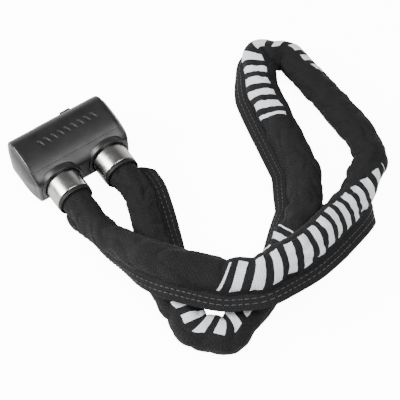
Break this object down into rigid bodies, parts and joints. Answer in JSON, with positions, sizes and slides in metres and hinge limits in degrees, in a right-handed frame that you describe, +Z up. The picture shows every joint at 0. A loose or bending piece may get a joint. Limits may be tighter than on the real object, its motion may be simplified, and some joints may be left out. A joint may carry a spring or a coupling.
{
  "type": "chain lock",
  "caption": "Chain lock: moulded lock head with two steel ferrules and a square-section chain in a sewn fabric sleeve, laid in a crossed loop.",
  "frame": {"origin": "centre of the lock head's flat underside", "axes": "+X along the lock head, +Y from the ferrules towards the keyway side, +Z up from the surface the lock lies on"},
  "size_m": [0.2423, 0.225, 0.0485],
  "materials": {
    "black_abs": "satin moulded",
    "end_cap_abs": "satin moulded",
    "polished_steel": "polished",
    "turned_steel": "turned",
    "zinc_casting": "as cast",
    "turned_brass": "turned",
    "black_rubber": "moulded",
    "plated_steel": "zinc plated",
    "chain_steel": "hardened",
    "woven_nylon": "plain weave"
  },
  "bodies": {
    "head": {"head_cover": "black_abs", "end_cap_left": "end_cap_abs", "end_cap_right": "end_cap_abs", "head_base": "black_abs", "base_screw_1": "plated_steel", "base_screw_2": "plated_steel", "base_screw_3": "plated_steel", "base_screw_4": "plated_steel", "lock_body": "zinc_casting", "cylinder_housing": "turned_brass", "keyway_escutcheon": "black_abs", "fixed_ferrule": "polished_steel", "fixed_plug": "turned_steel", "fixed_cross_pin": "plated_steel", "fixed_clamp_ring": "black_rubber", "fixed_anchor_pin": "plated_steel", "chain_link_02": "chain_steel", "chain_link_03": "chain_steel", "chain_link_04": "chain_steel", "chain_link_05": "chain_steel", "chain_link_06": "chain_steel", "chain_link_07": "chain_steel", "chain_link_08": "chain_steel", "chain_link_09": "chain_steel", "chain_link_22": "chain_steel", "chain_link_23": "chain_steel", "chain_link_24": "chain_steel", "chain_link_25": "chain_steel", "chain_link_26": "chain_steel", "chain_link_27": "chain_steel", "chain_link_28": "chain_steel", "chain_link_29": "chain_steel", "chain_link_30": "chain_steel", "chain_link_31": "chain_steel", "sleeve_locking_strand": "woven_nylon", "sleeve_fixed_strand": "woven_nylon"},
    "locking_end": {"locking_ferrule": "polished_steel", "locking_plug": "turned_steel", "locking_cross_pin": "plated_steel", "locking_clamp_ring": "black_rubber", "chain_link_01": "chain_steel", "sleeve_cuff": "woven_nylon"},
    "chain_loop": {"chain_link_10": "chain_steel", "chain_link_11": "chain_steel", "chain_link_12": "chain_steel", "chain_link_13": "chain_steel", "chain_link_14": "chain_steel", "chain_link_15": "chain_steel", "chain_link_16": "chain_steel", "chain_link_17": "chain_steel", "chain_link_18": "chain_steel", "chain_link_19": "chain_steel", "chain_link_20": "chain_steel", "chain_link_21": "chain_steel", "sleeve_loop": "woven_nylon"},
    "key_core": {"key_core": "turned_steel", "core_circlip": "plated_steel", "cam_plate": "plated_steel"},
    "lock_bolt": {"lock_bolt": "plated_steel"},
    "dust_cover": {"dust_cover": "black_abs"}
  },
  "joints": [
    {"name": "key_turn", "type": "hinge", "parent": "head", "child": "key_core", "pos_m": [0, 0, 0.0145], "axis": [0, -1, 0], "range_deg": [0, 90]},
    {"name": "bolt_throw", "type": "slide", "parent": "head", "child": "lock_bolt", "axis": [-1, 0, 0], "range_m": [0, 0.0035]},
    {"name": "dust_cover_slide", "type": "slide", "parent": "head", "child": "dust_cover", "axis": [1, 0, 0], "range_m": [0, 0.017]},
    {"name": "locking_pull", "type": "slide", "parent": "head", "child": "locking_end", "axis": [0, -1, 0], "range_m": [0, 0.012]},
    {"name": "loop_fold", "type": "hinge", "parent": "head", "child": "chain_loop", "pos_m": [0.11661, -0.13571, 0.0108], "axis": [0.2396, -0.9293, 0.2811], "range_deg": [0, 25]}
  ],
  "couplings": [
    {"joint": "bolt_throw", "follows": "key_turn", "m_per_rad": 0.002228}
  ]
}
